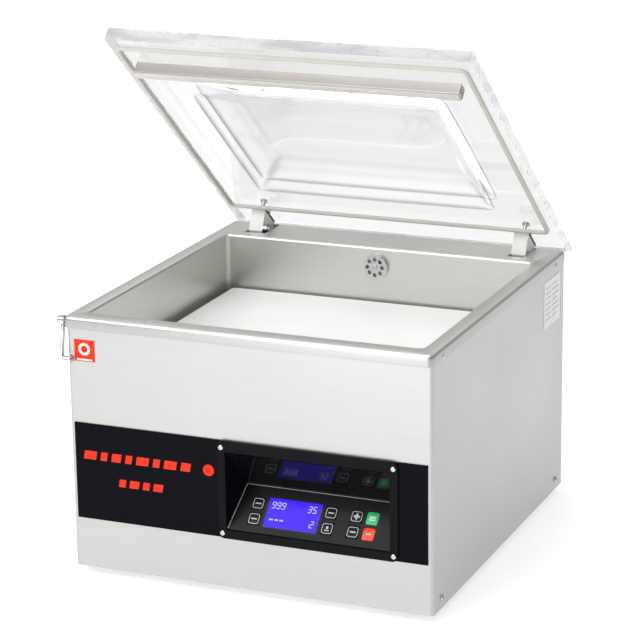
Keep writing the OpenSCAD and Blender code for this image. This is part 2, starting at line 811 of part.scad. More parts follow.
module hinge_shaft() {
    color(steel) in_frame() translate([0, axis_y, axis_z]) along_x(-shaft_end, shaft_r, 2 * shaft_end);
}

module hinge_brackets() {
    left_of = [-shaft_end + 3, -hinge_x + block_w / 2 + bracket_gap + slot_spare,
        hinge_x - block_w / 2 - bracket_gap - bracket_t, shaft_end - 3 - bracket_t];
    color(dark_steel) in_frame() for (x = left_of) translate([x, axis_y, axis_z]) difference() {
        translate([0, -16, -12]) cube([bracket_t, 24.5, plate_under - axis_z + 12]);
        along_x(-1, shaft_r + 0.02, bracket_t + 2);
    }
}

// ---- Gas spring, upright with the lid open ----

module gas_spring_tube() {
    color(black) in_frame() translate([spring_x, stud_y, stud_z - spring_l]) difference() {
        union() {
            along_x(-eye_t / 2, 6, eye_t);
            translate([-eye_t / 2, -4, 4]) cube([eye_t, 8, tube_foot - 4 + eps]);
            translate([0, 0, tube_foot]) cylinder(r = tube_r, h = tube_l);
        }
        along_x(-eye_t, stud_r + turn_gap, 2 * eye_t);
        translate([0, 0, tube_foot + 5]) cylinder(r = spring_rod_r + slide_gap, h = tube_l);
    }
}

module gas_spring_rod() {
    foot = tube_foot + tube_l - stroke - 20;
    color(steel) in_frame() translate([spring_x, stud_y, stud_z - spring_l]) difference() {
        union() {
            translate([0, 0, foot]) cylinder(r = spring_rod_r, h = spring_l - foot - stud_r - eye_gap - 0.5);
            translate([0, 0, spring_l]) along_x(-eye_t / 2, eye_r, eye_t);
        }
        translate([0, 0, spring_l]) along_x(-eye_t, stud_r + eye_gap, 2 * eye_t);
    }
}

module gas_spring_stud() {
    color(steel) on_lid() translate([spring_x, axis_y - stud_back, axis_z - stud_down]) {
        along_x(-eye_t / 2 - 0.8 - 7, stud_r, eye_t + 0.8 + 7 + 1);
        along_x(eye_t / 2 + 0.6, stud_r + 2, 1.6);
    }
}

module gas_spring_anchor() {
    z = stud_z - spring_l;
    reach = body_rear - sheet_t - stud_y;
    color(dark_steel) in_frame() translate([spring_x, stud_y, z]) {
        for (s = [-1, 1]) translate([s > 0 ? eye_t / 2 + 0.6 : -eye_t / 2 - 0.6 - 3, -8, -8])
            cube([3, reach + 8, 16]);
        translate([-eye_t / 2 - 0.6 - 3, 12, -8]) cube([eye_t + 7.2, 3, 16]);
        along_x(-eye_t / 2 - 1, stud_r, eye_t + 2);
    }
}

// ---- Catch ----

module catch_rod() {
    color(steel) on_catch() difference() {
        union() {
            along_x(catch_x - rod_r, 6, 2 * rod_r);
            translate([catch_x, 0, -catch_l]) cylinder(r = rod_r, h = catch_l - 4);
            translate([catch_x, 0, -catch_l]) sphere(r = rod_r);
            translate([0, 0, -catch_l]) along_x(catch_x, rod_r, catch_end - catch_x);
        }
        along_x(catch_x - 10, pivot_r + turn_gap, 20);
    }
}

module catch_tip() {
    color(black) on_catch() translate([0, 0, -catch_l]) along_x(catch_end, tip_r, tip_l);
}

module catch_pivot() {
    out = catch_x - rod_r - 0.5;
    color(dark_steel) in_frame() translate([0, catch_y, catch_z]) {
        along_x(out, pivot_r, -machine_w / 2 - out);
        along_x(-machine_w / 2 - eps, pivot_r - rest_gap - turn_gap, 6);
        along_x(out - pivot_head_t, pivot_head_r, pivot_head_t);
    }
}

// ---- Pump group ----

drum_r = 26;
bore_r = 33;
stator_r = motor_r - 7;
motor_shaft_r = 7;

module pump_body() {
    h = pump_z + 60 - bay_z;
    color(dark_steel) in_frame() difference() {
        union() {
            translate([pump_x, pump_y - 58, bay_z + 18]) cube([pump_l, 116, h - 18]);
            for (x = [pump_x + 6, pump_x + pump_l - 26], y = [pump_y - 52, pump_y + 32])
                translate([x, y, bay_z]) cube([20, 20, 18 + eps]);
            translate([0, hose_y, pump_z + 58]) cylinder(r = hose_d / 2 - 3, h = 22);
            for (i = [0 : 7]) translate([pump_x + 8 + i * 14, pump_y - 62, pump_z - 20]) cube([4, 5, 60]);
        }
        translate([0, pump_y, pump_z + 4]) along_x(pump_x + 12, bore_r, pump_l - 24);
        translate([0, pump_y, pump_z]) along_x(pump_x - 1, motor_shaft_r + turn_gap, 20);
        translate([0, hose_y, pump_z + 30]) cylinder(r = hose_d / 2 - 5, h = 60);
    }
}

module oil_case() {
    color(black) in_frame() difference() {
        union() {
            translate([pump_x + pump_l + 1, pump_y - 50, bay_z + 14]) cube([oil_l, 108, pump_z + 30 - bay_z]);
            translate([pump_x + pump_l + 30, pump_y, pump_z + 40]) cylinder(r = 12, h = 18);
        }
        translate([glass_x, 0, glass_z]) along_y(pump_y + 54, 13, 10);
    }
}

module sight_glass() {
    color([0.8, 0.72, 0.4, 0.6]) in_frame() translate([glass_x, 0, glass_z]) {
        along_y(pump_y + 54, 13 - seat_gap, 8);
    }
}

module pump_motor() {
    color([0.3, 0.33, 0.36]) in_frame() translate([0, pump_y, pump_z]) difference() {
        union() {
            along_x(motor_x, motor_r - 5, motor_l - 1);
            for (a = [0 : 20 : 340]) rotate([a, 0, 0])
                translate([motor_x + 8, -1.5, motor_r - 8]) cube([motor_l - 20, 3, 8]);
        }
        along_x(motor_x + 10, stator_r - 12, motor_l - 20);
        along_x(motor_x - 1, motor_shaft_r + turn_gap, motor_l + 2);
    }
}

module motor_rotor() {
    blades = 8;
    color(steel) in_frame() translate([0, pump_y, pump_z]) {
        along_x(motor_x - fan_gap + 4, motor_shaft_r, motor_l + fan_gap - 4 + 20);
        along_x(motor_x + 18, stator_r - 14, motor_l - 40);
        along_x(pump_x + 13, drum_r, pump_l - 26);
        along_x(motor_x - fan_gap + 6, 16, 12);
        for (i = [0 : blades - 1]) rotate([i * 360 / blades, 0, 0])
            translate([motor_x - fan_gap + 6, -1.2, 14]) cube([12, 2.4, motor_r - 26]);
    }
}

module fan_cover() {
    color(black) in_frame() translate([0, pump_y, pump_z]) difference() {
        along_x(motor_x - fan_gap, motor_r - 1.5, fan_gap + 6);
        along_x(motor_x - fan_gap + 2, motor_r - 4.9, fan_gap + 6);
        for (i = [0 : 11]) rotate([i * 30, 0, 0])
            translate([motor_x - fan_gap - 1, -3, 18]) cube([6, 6, 30]);
    }
}

module vacuum_hose() {
    low = pump_z + 64;
    color(black) in_frame() translate([0, hose_y, low]) difference() {
        cylinder(r = hose_d / 2, h = suction_z - valve_h / 2 - 2 - low);
        translate([0, 0, -1]) cylinder(r = hose_d / 2 - 3 + 0.05, h = 400);
    }
}

module valve_block() {
    y = chamber_rear + tub_t;
    color(dark_steel) in_frame() difference() {
        union() {
            translate([-valve_w / 2, y, suction_z - valve_h / 2]) cube([valve_w, valve_d, valve_h]);
            translate([0, hose_y, suction_z - valve_h / 2 - 18]) cylinder(r = hose_d / 2 - 3, h = 19);
            for (s = [-1, 1]) translate([s > 0 ? 0 : -26, y + valve_d / 2, suction_z])
                along_x(s * valve_w / 2 - (s > 0 ? eps : -eps), 13, 26);
        }
        translate([0, 0, suction_z]) along_y(y - 1, port_r, 24);
        translate([0, hose_y, suction_z - valve_h / 2 - 19]) cylinder(r = hose_d / 2 - 5, h = 30);
    }
}

module seal_transformer() {
    color(dark_steel) in_frame() translate([-body_w / 2 + 30, body_front + 54, bay_z]) {
        cube([90, 76, 4]);
        difference() {
            translate([5, 18, 4 - eps]) cube([80, 40, 68]);
            for (x = [19, 49]) translate([x, 0, 18]) cube([22, 80, 40]);
        }
        color([0.75, 0.45, 0.2]) difference() {
            translate([20, 6, 19]) cube([50, 64, 38]);
            translate([41 - seat_gap, 18 - seat_gap, 10]) cube([8 + 2 * seat_gap, 40 + 2 * seat_gap, 60]);
        }
    }
}

rocker_x = inlet_x + 13;

module power_inlet() {
    color(black) in_frame() difference() {
        union() {
            translate([inlet_x - 28, body_rear, inlet_z - 18]) cube([56, 2.5, 36]);
            translate([inlet_x - 25 + seat_gap, body_rear - 28, inlet_z - 15 + seat_gap])
                cube([50 - 2 * seat_gap, 28 + eps, 30 - 2 * seat_gap]);
        }
        translate([inlet_x - 22, body_rear - 16, inlet_z - 8]) cube([22, 20, 16]);
        translate([rocker_x - 7, body_rear - 12, inlet_z - 11]) cube([14, 20, 22]);
    }
    color(steel) in_frame() for (i = [-1, 0, 1])
        translate([inlet_x - 12 + i * 6, body_rear - 17, inlet_z - 2]) cube([2, 12, 4]);
}

// Rocker with its lower half pressed in; it tips about x
module power_switch() {
    color([0.85, 0.15, 0.1]) in_frame() translate([rocker_x, body_rear - 3, inlet_z]) rotate([-10, 0, 0])
        difference() {
            translate([-6.6, -4, -9.6]) cube([13.2, 8, 19.2]);
            translate([-8, 4, 0]) rotate([9, 0, 0]) cube([16, 8, 14]);
            translate([-8, 4, 0]) rotate([-9, 0, 0]) translate([0, 0, -14]) cube([16, 8, 14]);
        }
    color([0.85, 0.15, 0.1]) in_frame() translate([rocker_x, body_rear - 3, inlet_z])
        along_x(-6.9, 1.2, 13.8);
}

housing_shell();
rear_panel();
base_plate();
feet();
top_rim();
chamber_tub();
casing_screws();
rating_label();
badge();
fascia();
control_bezel();
bezel_screws();
keypad_panel();
upper_window();
display();
for (i = [0 : 7]) key(i);
control_board();
insert_plate_lower();
insert_plate_upper();
seal_bar();
seal_band();
lift_pistons();
lift_cylinders();
suction_cover();
suction_screw();
lid_panel();
lid_gasket();
counter_bar();
counter_strip();
hinge_block_left();
hinge_block_right();
hinge_pads();
hinge_bolts();
hinge_shaft();
hinge_brackets();
gas_spring_tube();
gas_spring_rod();
gas_spring_stud();
gas_spring_anchor();
catch_rod();
catch_tip();
catch_pivot();
pump_body();
oil_case();
sight_glass();
pump_motor();
motor_rotor();
fan_cover();
vacuum_hose();
valve_block();
seal_transformer();
power_inlet();
power_switch();
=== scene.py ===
import json
import math

import bmesh
import bpy
from mathutils import Matrix, Vector


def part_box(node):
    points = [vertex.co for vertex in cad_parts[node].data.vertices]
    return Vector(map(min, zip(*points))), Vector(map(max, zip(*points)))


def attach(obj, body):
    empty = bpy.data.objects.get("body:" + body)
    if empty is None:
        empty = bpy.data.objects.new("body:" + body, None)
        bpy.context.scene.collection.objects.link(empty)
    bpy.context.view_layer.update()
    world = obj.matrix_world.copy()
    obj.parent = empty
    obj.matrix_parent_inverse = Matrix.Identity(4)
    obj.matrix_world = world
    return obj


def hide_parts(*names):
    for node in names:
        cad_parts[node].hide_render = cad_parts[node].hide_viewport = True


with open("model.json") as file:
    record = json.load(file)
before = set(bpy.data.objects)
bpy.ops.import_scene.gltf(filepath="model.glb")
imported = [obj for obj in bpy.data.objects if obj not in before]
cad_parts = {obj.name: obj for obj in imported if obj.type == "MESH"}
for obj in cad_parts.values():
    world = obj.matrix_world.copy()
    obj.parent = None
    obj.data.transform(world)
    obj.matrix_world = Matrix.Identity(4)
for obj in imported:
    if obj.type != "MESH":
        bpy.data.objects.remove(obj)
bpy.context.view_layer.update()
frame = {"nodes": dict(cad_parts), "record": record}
nodes = frame["nodes"]
joints = {j["name"]: j for j in frame["record"]["behaviour"]["joints"]}

# ---- The machine's own frame: x from its middle, y from the rim's front, z from the floor, in mm ----

rim_lo, rim_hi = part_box("top_rim")
MID_X = (rim_lo[0] + rim_hi[0]) / 2
FRONT_Y = rim_lo[1]
TOP = rim_hi[2] * 1000
WIDE = (rim_hi[0] - rim_lo[0]) * 1000
DEEP = (rim_hi[1] - rim_lo[1]) * 1000


def at(x, y, z):
    return Vector((MID_X + x / 1000, FRONT_Y + y / 1000, z / 1000))


def local(p):
    return ((p[0] - MID_X) * 1000, (p[1] - FRONT_Y) * 1000, p[2] * 1000)


def span(node):
    lo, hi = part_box(node)
    return local(lo), local(hi)


axis = Vector(joints["lid_hinge"]["pos_m"])
OPEN = math.radians(joints["lid_hinge"]["range_deg"][1])
AXIS_Y = local(axis)[1]
lid_turn = Matrix.Translation(axis) @ Matrix.Rotation(-OPEN, 4, "X") @ Matrix.Translation(-axis)
LID_IN = TOP + 5.0          # inner face of the closed lid
LID_T = 17.5
LID_HALF = 243.0
LID_FRONT = 2.0
LID_REACH = 30.0            # from the hinge axis to the lid's rear edge
SEAL_Y = 62.0               # middle of the seal bar and of the counter bar over it
HINGE_X = 192.5
BOLT_BACK = (12, 35)        # bolts in front of the hinge axis, lid closed
TUB_WALL = 1.5


# ---- Camera ----

CAMERA_AT = (1260.1, -2751.5, 1248.4)
CAMERA_TURN = (22.826, 16.363, -0.759)      # azimuth, elevation and roll, in degrees
LENS = 147.2


def aim(azimuth, elevation, roll):
    a, e = math.radians(azimuth), math.radians(elevation)
    forward = Vector((-math.sin(a) * math.cos(e), math.cos(a) * math.cos(e), -math.sin(e)))
    right = Vector((math.cos(a), math.sin(a), 0))
    up = right.cross(forward)
    r = math.radians(roll)
    side = math.cos(r) * right + math.sin(r) * up
    top = -math.sin(r) * right + math.cos(r) * up
    return Matrix((side, top, -forward)).transposed().to_4x4()


camera = bpy.data.objects.new("camera", bpy.data.cameras.new("camera"))
bpy.context.collection.objects.link(camera)
camera.data.lens = LENS
camera.data.sensor_width = 36
camera.data.clip_end = 100
camera.matrix_world = Matrix.Translation(at(*CAMERA_AT)) @ aim(*CAMERA_TURN)
bpy.context.scene.camera = camera


# ---- Materials ----

def srgb(r, g, b):
    def lin(v):
        v /= 255
        return v / 12.92 if v <= 0.04045 else ((v + 0.055) / 1.055) ** 2.4
    return (lin(r), lin(g), lin(b), 1)


class Surface:
    """A Principled material whose colour, roughness and bump can be varied by noise."""

    def __init__(self, name, color, rough, metal=0.0, **sockets):
        self.mat = bpy.data.materials.new(name)
        self.mat.use_nodes = True
        self.tree = self.mat.node_tree
        self.bsdf = self.tree.nodes["Principled BSDF"]
        self.color, self.rough = color, rough
        self.bsdf.inputs["Base Color"].default_value = color
        self.bsdf.inputs["Roughness"].default_value = rough
        self.bsdf.inputs["Metallic"].default_value = metal
        for key, value in sockets.items():
            self.bsdf.inputs[key.replace("_", " ")].default_value = value
        self.coords = self.tree.nodes.new("ShaderNodeTexCoord")

    def noise(self, scale, detail=3.0, roughness=0.55):
        mapping = self.tree.nodes.new("ShaderNodeMapping")
        mapping.inputs["Scale"].default_value = scale
        self.tree.links.new(self.coords.outputs["Object"], mapping.inputs["Vector"])
        noise = self.tree.nodes.new("ShaderNodeTexNoise")
        noise.inputs["Scale"].default_value = 1.0
        noise.inputs["Detail"].default_value = detail
        noise.inputs["Roughness"].default_value = roughness
        self.tree.links.new(mapping.outputs["Vector"], noise.inputs["Vector"])
        return noise.outputs["Fac"]

    def tint(self, fac, other, low=0.35, high=0.65):
        ramp = self.tree.nodes.new("ShaderNodeValToRGB")
        ramp.color_ramp.elements[0].position = low
        ramp.color_ramp.elements[0].color = other
        ramp.color_ramp.elements[1].position = high
        ramp.color_ramp.elements[1].color = self.color
        self.tree.links.new(fac, ramp.inputs["Fac"])
        self.tree.links.new(ramp.outputs["Color"], self.bsdf.inputs["Base Color"])
        return self

    def roughen(self, fac, low, high):
        span_node = self.tree.nodes.new("ShaderNodeMapRange")
        span_node.inputs["From Min"].default_value = 0.3
        span_node.inputs["From Max"].default_value = 0.7
        span_node.inputs["To Min"].default_value = low
        span_node.inputs["To Max"].default_value = high
        self.tree.links.new(fac, span_node.inputs["Value"])
        self.tree.links.new(span_node.outputs["Result"], self.bsdf.inputs["Roughness"])
        return self

    def bump(self, fac, strength, distance):
        node = self.tree.nodes.new("ShaderNodeBump")
        node.inputs["Strength"].default_value = strength
        node.inputs["Distance"].default_value = distance
        self.tree.links.new(fac, node.inputs["Height"])
        self.tree.links.new(node.outputs["Normal"], self.bsdf.inputs["Normal"])
        return self


def brushed(name, color, dark, along, rough, strength):
    """Brushed metal; along is x for streaks that run along x, xy for level streaks on upright faces."""
    s = Surface(name, color, rough[0], 1.0)
    fine = {"x": (9, 1900, 1900), "xy": (9, 9, 2200)}[along]
    streaks = s.noise(fine, 4.0, 0.7)
    clouds = s.noise((5, 5, 5), 2.0)
    s.tint(streaks, dark, 0.3, 0.62)
    s.roughen(clouds, *rough)
    s.bump(streaks, strength, 0.00006)
    return s.mat


def satin(name, color, dark, rough, metal=0.0, grain=1400, strength=0.2, **sockets):
    """Moulded, painted or cast surface with a fine even grain and slow colour change."""
    s = Surface(name, color, rough, metal, **sockets)
    s.tint(s.noise((9, 9, 9), 3.0), dark, 0.3, 0.7)
    fine = s.noise((grain, grain, grain), 2.0)
    s.roughen(s.noise((30, 30, 30), 2.0), rough * 0.85, min(1.0, rough * 1.2))
    s.bump(fine, strength, 0.00005)
    return s.mat


steel = brushed("steel_sheet", srgb(186, 186, 185), srgb(179, 179, 178), "xy", (0.34, 0.42), 0.1)
steel_rim = brushed("steel_rim", srgb(220, 219, 216), srgb(213, 212, 209), "x", (0.32, 0.38), 0.06)
# Darker copy of the rim steel for the rim's upright skirt: painted shade on one sheet of steel
steel_skirt_painted_shade = brushed("steel_skirt_painted_shade", srgb(176, 175, 174), srgb(170, 169, 168), "x", (0.3, 0.36), 0.06)
steel_tub = brushed("steel_tub", srgb(218, 217, 212), srgb(210, 209, 204), "xy", (0.34, 0.42), 0.08)
steel_zinc = satin("zinc_plate", srgb(176, 174, 168), srgb(150, 150, 150), 0.42, 1.0, 300)
steel_bright = satin("bright_steel", srgb(206, 206, 206), srgb(192, 192, 194), 0.2, 1.0, 700, 0.1)
chrome = satin("chrome", srgb(214, 214, 216), srgb(204, 205, 208), 0.12, 1.0, 500, 0.04)
anodised = brushed("anodised", srgb(172, 168, 165), srgb(165, 161, 158), "x", (0.38, 0.46), 0.1)
cast_paint = satin("cast_paint", srgb(92, 96, 100), srgb(70, 74, 78), 0.5, 0.0, 260, 0.5)
motor_paint = satin("motor_paint", srgb(64, 70, 78), srgb(50, 54, 60), 0.45, 0.0, 320, 0.4)
copper = satin("copper", srgb(190, 120, 62), srgb(120, 70, 40), 0.4, 0.6, 900, 0.4)
fascia_black = satin("fascia_black", srgb(8, 11, 16), srgb(5, 8, 12), 0.42, 0.0, 1800, 0.12,
                     Specular_IOR_Level=0.05)
bezel_black = satin("bezel_black", srgb(11, 12, 16), srgb(8, 9, 12), 0.34, 0.0, 1500, 0.25,
                    Specular_IOR_Level=0.08)
panel_black = satin("panel_black", srgb(13, 14, 17), srgb(10, 11, 14), 0.3, 0.0, 1600, 0.1,
                    Specular_IOR_Level=0.16)
gloss_black = satin("gloss_black", srgb(10, 11, 14), srgb(8, 9, 11), 0.09, 0.0, 60, 0.01,
                    Specular_IOR_Level=0.3)
plastic_black = satin("moulded_black", srgb(34, 34, 36), srgb(27, 27, 29), 0.5, 0.0, 1200, 0.4)
rubber_black = satin("rubber_black", srgb(30, 30, 31), srgb(22, 22, 23), 0.7, 0.0, 900, 0.5)
white_board = satin("white_board", srgb(246, 248, 246), srgb(240, 242, 241), 0.42, 0.0, 1000, 0.15)
white_block = satin("white_block", srgb(240, 240, 238), srgb(230, 230, 228), 0.4, 0.0, 1100, 0.25)
silicone = satin("silicone", srgb(196, 194, 187), srgb(186, 184, 177), 0.5, 0.0, 1300, 0.3,
                 Subsurface_Weight=0.15, Subsurface_Scale=0.003)
label_white = satin("label_white", srgb(240, 240, 240), srgb(232, 233, 234), 0.35, 0.0, 1500, 0.1)
print_grey = satin("print_grey", srgb(168, 171, 176), srgb(156, 160, 165), 0.4, 0.0, 1500, 0.1)
print_red = satin("print_red", srgb(238, 48, 14), srgb(226, 42, 12), 0.45, 0.0, 1500, 0.15,
                  Specular_IOR_Level=0.2)
print_white = satin("print_white", srgb(250, 246, 242), srgb(243, 240, 236), 0.4, 0.0, 1500, 0.1)
key_line = satin("key_line", srgb(198, 200, 202), srgb(186, 188, 190), 0.4, 0.0, 1500, 0.1)
key_black = satin("key_black", srgb(15, 16, 19), srgb(11, 12, 15), 0.4, 0.0, 1500, 0.2,
                  Specular_IOR_Level=0.2)
key_green = satin("key_green", srgb(52, 196, 118), srgb(44, 180, 106), 0.34, 0.0, 1500, 0.2)
key_red = satin("key_red", srgb(250, 66, 30), srgb(236, 58, 24), 0.34, 0.0, 1500, 0.2)
board_green = satin("board_green", srgb(30, 96, 60), srgb(22, 76, 48), 0.35, 0.0, 400, 0.6)
band_brown = satin("band_brown", srgb(150, 112, 74), srgb(128, 94, 60), 0.45, 0.0, 1600, 0.6)
amber = satin("amber", srgb(222, 190, 110), srgb(206, 170, 90), 0.12, 0.0, 200, 0.05,
              Transmission_Weight=0.6)
rocker_red = satin("rocker_red", srgb(214, 40, 26), srgb(190, 32, 22), 0.25, 0.0, 900, 0.1)


def screen_blue():
    s = Surface("screen_blue", srgb(30, 4, 120), 0.25, 0.0, Emission_Strength=0.8,
                Specular_IOR_Level=0.2)
    s.bsdf.inputs["Emission Color"].default_value = srgb(60, 6, 255)
    s.tint(s.noise((2200, 2200, 2200), 1.0), srgb(24, 2, 100), 0.3, 0.7)
    s.bump(s.noise((3000, 3000, 3000), 1.0), 0.05, 0.00002)
    return s.mat


def lit_segments():
    s = Surface("lit_segments", srgb(120, 124, 200), 0.3, 0.0, Emission_Strength=0.45)
    s.bsdf.inputs["Emission Color"].default_value = srgb(196, 200, 255)
    s.tint(s.noise((900, 900, 900), 1.0), srgb(110, 114, 190), 0.3, 0.7)
    return s.mat


def acrylic():
    """Clear plate; its mesh's crease attribute marks the folds, which are painted dark: painted shade."""
    s = Surface("clear_acrylic", (0.82, 0.825, 0.825, 1), 0.012, 0.0, Transmission_Weight=1.0, IOR=1.03,
                Coat_Weight=1.0, Coat_Roughness=0.02)
    fold_shade_mask = s.tree.nodes.new("ShaderNodeAttribute")
    fold_shade_mask.attribute_name = "crease"
    ramp = s.tree.nodes.new("ShaderNodeValToRGB")
    ramp.color_ramp.elements[0].position = 0.04
    ramp.color_ramp.elements[0].color = s.color
    ramp.color_ramp.elements[1].position = 0.28
    # Dark colour at the folds: painted shade standing in for the lines the bent clear plate shows
    ramp.color_ramp.elements[1].color = (0.08, 0.085, 0.1, 1)
    s.tree.links.new(fold_shade_mask.outputs["Fac"], ramp.inputs["Fac"])
    s.tree.links.new(ramp.outputs["Color"], s.bsdf.inputs["Base Color"])
    s.roughen(s.noise((14, 14, 14), 2.0), 0.007, 0.016)
    s.bump(s.noise((12, 12, 12), 2.0), 0.02, 0.0004)
    return s.mat


def cut_edge(name, light, dark, painted_glow):
    """Cut edge of the clear plate: milky, with painted mottled light for the light caught inside, and a
    painted glow.
    """
    s = Surface(name, light, 0.3, 0.0, Transmission_Weight=0.3, IOR=1.3, Emission_Strength=painted_glow)
    s.bsdf.inputs["Emission Color"].default_value = (1, 1, 1, 1)
    mottle = s.noise((12, 12, 60), 4.0, 0.6)
    s.tint(mottle, dark, 0.4, 0.58)
    s.roughen(s.noise((60, 60, 60), 3.0), 0.2, 0.45)
    s.bump(mottle, 0.25, 0.0005)
    return s.mat


screen = screen_blue()
segments = lit_segments()
clear = acrylic()
# Lit and shaded copies of one cut edge: the front one is painted darker as painted shade, the side one paler
# with a stronger painted glow
front_edge_painted_shade = cut_edge("clear_front_edge", (0.52, 0.52, 0.515, 1), (0.36, 0.365, 0.38, 1), 0.05)
side_edge_painted_light = cut_edge("clear_side_edge", (0.9, 0.9, 0.895, 1), (0.66, 0.67, 0.68, 1), 0.12)

finish = {
    "housing_shell": steel, "rear_panel": steel, "base_plate": steel_zinc, "feet": rubber_black,
    "chamber_tub": steel_tub, "rating_label": label_white, "badge": print_red,
    "fascia": fascia_black, "control_bezel": bezel_black, "keypad_panel": panel_black,
    "upper_window": gloss_black, "display": screen, "control_board": board_green,
    "insert_plate_lower": white_board, "insert_plate_upper": white_board, "seal_bar": anodised,
    "seal_band": band_brown, "lift_pistons": steel_bright, "lift_cylinders": anodised,
    "suction_cover": steel_bright, "counter_bar": anodised, "hinge_block_left": white_block,
    "hinge_block_right": white_block, "hinge_pads": rubber_black, "hinge_shaft": steel_bright,
    "hinge_brackets": steel_zinc, "gas_spring_tube": plastic_black, "gas_spring_rod": chrome,
    "gas_spring_stud": steel_bright, "gas_spring_anchor": steel_zinc, "catch_pivot": steel_bright,
    "pump_body": cast_paint, "oil_case": cast_paint, "sight_glass": amber,
    "pump_motor": motor_paint, "motor_rotor": steel_zinc, "fan_cover": plastic_black,
    "vacuum_hose": rubber_black, "valve_block": anodised, "seal_transformer": copper,
    "power_inlet": plastic_black, "power_switch": rocker_red,
}


# ---- Building pieces ----

class Build:
    """Collects faces in the machine's own frame, in mm."""

    def __init__(self, turn=None):
        self.bm = bmesh.new()
        self.turn = turn

    def points(self, loop):
        return [self.bm.verts.new(self.turn @ at(*p) if self.turn else at(*p)) for p in loop]

    def loft(self, loops, material=0, ring=False):
        """Skin over loops of equal length; its ends are closed, or joined to each other as a ring."""
        rows = [self.points(loop) for loop in loops]
        pairs = list(zip(rows, rows[1:])) + ([(rows[-1], rows[0])] if ring else [])
        for a, b in pairs:
            for i in range(len(a)):
                j = (i + 1) % len(a)
                self.bm.faces.new((a[i], a[j], b[j], b[i])).material_index = material
        if not ring:
            self.bm.faces.new(rows[0][::-1]).material_index = material
            self.bm.faces.new(rows[-1]).material_index = material

    def done(self, name, body, materials, replaces=(), angle=32):
        bmesh.ops.recalc_face_normals(self.bm, faces=self.bm.faces)
        mesh = bpy.data.meshes.new(name)
        self.bm.to_mesh(mesh)
        self.bm.free()
        for m in materials:
            mesh.materials.append(m)
        mesh.shade_smooth()
        mesh.set_sharp_from_angle(angle=math.radians(angle))
        piece = bpy.data.objects.new(name, mesh)
        bpy.context.collection.objects.link(piece)
        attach(piece, body)
        if replaces:
            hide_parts(*replaces)
        return piece


def rounded_rect(x0, x1, y0, y1, r, steps=6):
    points = []
    for cx, cy, start in ((x1 - r, y1 - r, 0), (x0 + r, y1 - r, 90), (x0 + r, y0 + r, 180),
                          (x1 - r, y0 + r, 270)):
        for i in range(steps + 1):
            a = math.radians(start + 90 * i / steps)
            points.append((cx + r * math.cos(a), cy + r * math.sin(a)))
    return points


def level(points, z):
    return [(x, y, z) for x, y in points]


def basis(direction):
    z = Vector(direction).normalized()
    x = z.orthogonal().normalized()
    return x, z.cross(x), z


def revolve(build, centre, direction, profile, sides, hexagon=()):
    """Turns [radius, height] pairs about the direction; the indices in hexagon get six flats."""
    x, y, z = basis(direction)
    loops = []
    for k, (r, h) in enumerate(profile):
        loop = []
        for i in range(sides):
            a = 2 * math.pi * i / sides
            grow = 1.0
            if k in hexagon:
                grow = math.cos(math.pi / 6) / math.cos((a % (math.pi / 3)) - math.pi / 6)
            loop.append(Vector(centre) + r * grow * (x * math.cos(a) + y * math.sin(a)) + z * h)
        loops.append(loop)
    build.loft(loops)


def button_head(build, centre, direction, r, h, shank, shank_l):
    """Button-head screw with a hexagon socket; direction points out of the head."""
    s = 0.5 * r
    profile = [
        (shank, -shank_l), (shank, 0), (r, 0), (r, 0.3 * h), (0.93 * r, 0.62 * h), (0.78 * r, 0.88 * h),
        (s * 1.12, h), (s, 0.96 * h), (s * 0.98, 0.35 * h), (s * 0.3, 0.3 * h)]
    revolve(build, centre, direction, profile, 36, (7, 8))


def sweep(build, path, radius, sides):
    """Round bar along a path, with domed ends."""
    path = [Vector(p) for p in path]
    tangents = []
    for i in range(len(path)):
        a, b = path[max(i - 1, 0)], path[min(i + 1, len(path) - 1)]
        tangents.append((b - a).normalized())
    side = tangents[0].orthogonal().normalized()
    loops = []

    def ring(p, t, r):
        other = t.cross(side)
        turns = [2 * math.pi * i / sides for i in range(sides)]
        loops.append([p + r * (side * math.cos(a) + other * math.sin(a)) for a in turns])

    def dome(p, t, outward, angles):
        for a in angles:
            d = math.radians(a)
            ring(p + outward * radius * 0.6 * math.sin(d), t, radius * math.cos(d))

    dome(path[0], tangents[0], -tangents[0], (80, 55, 28))
    for p, t in zip(path, tangents):
        side = (side - t * side.dot(t)).normalized()
        ring(p, t, radius)
    dome(path[-1], tangents[-1], tangents[-1], (28, 55, 80))
    build.loft(loops)


def bevel(obj, width, angle=35):
    """Rounds an object's edges that are sharper than the angle."""
    m = obj.modifiers.new("edge_rounding", "BEVEL")
    m.width = width / 1000
    m.segments = 3
    m.limit_method = "ANGLE"
    m.angle_limit = math.radians(angle)
    m.harden_normals = False


# ---- Top rim ----

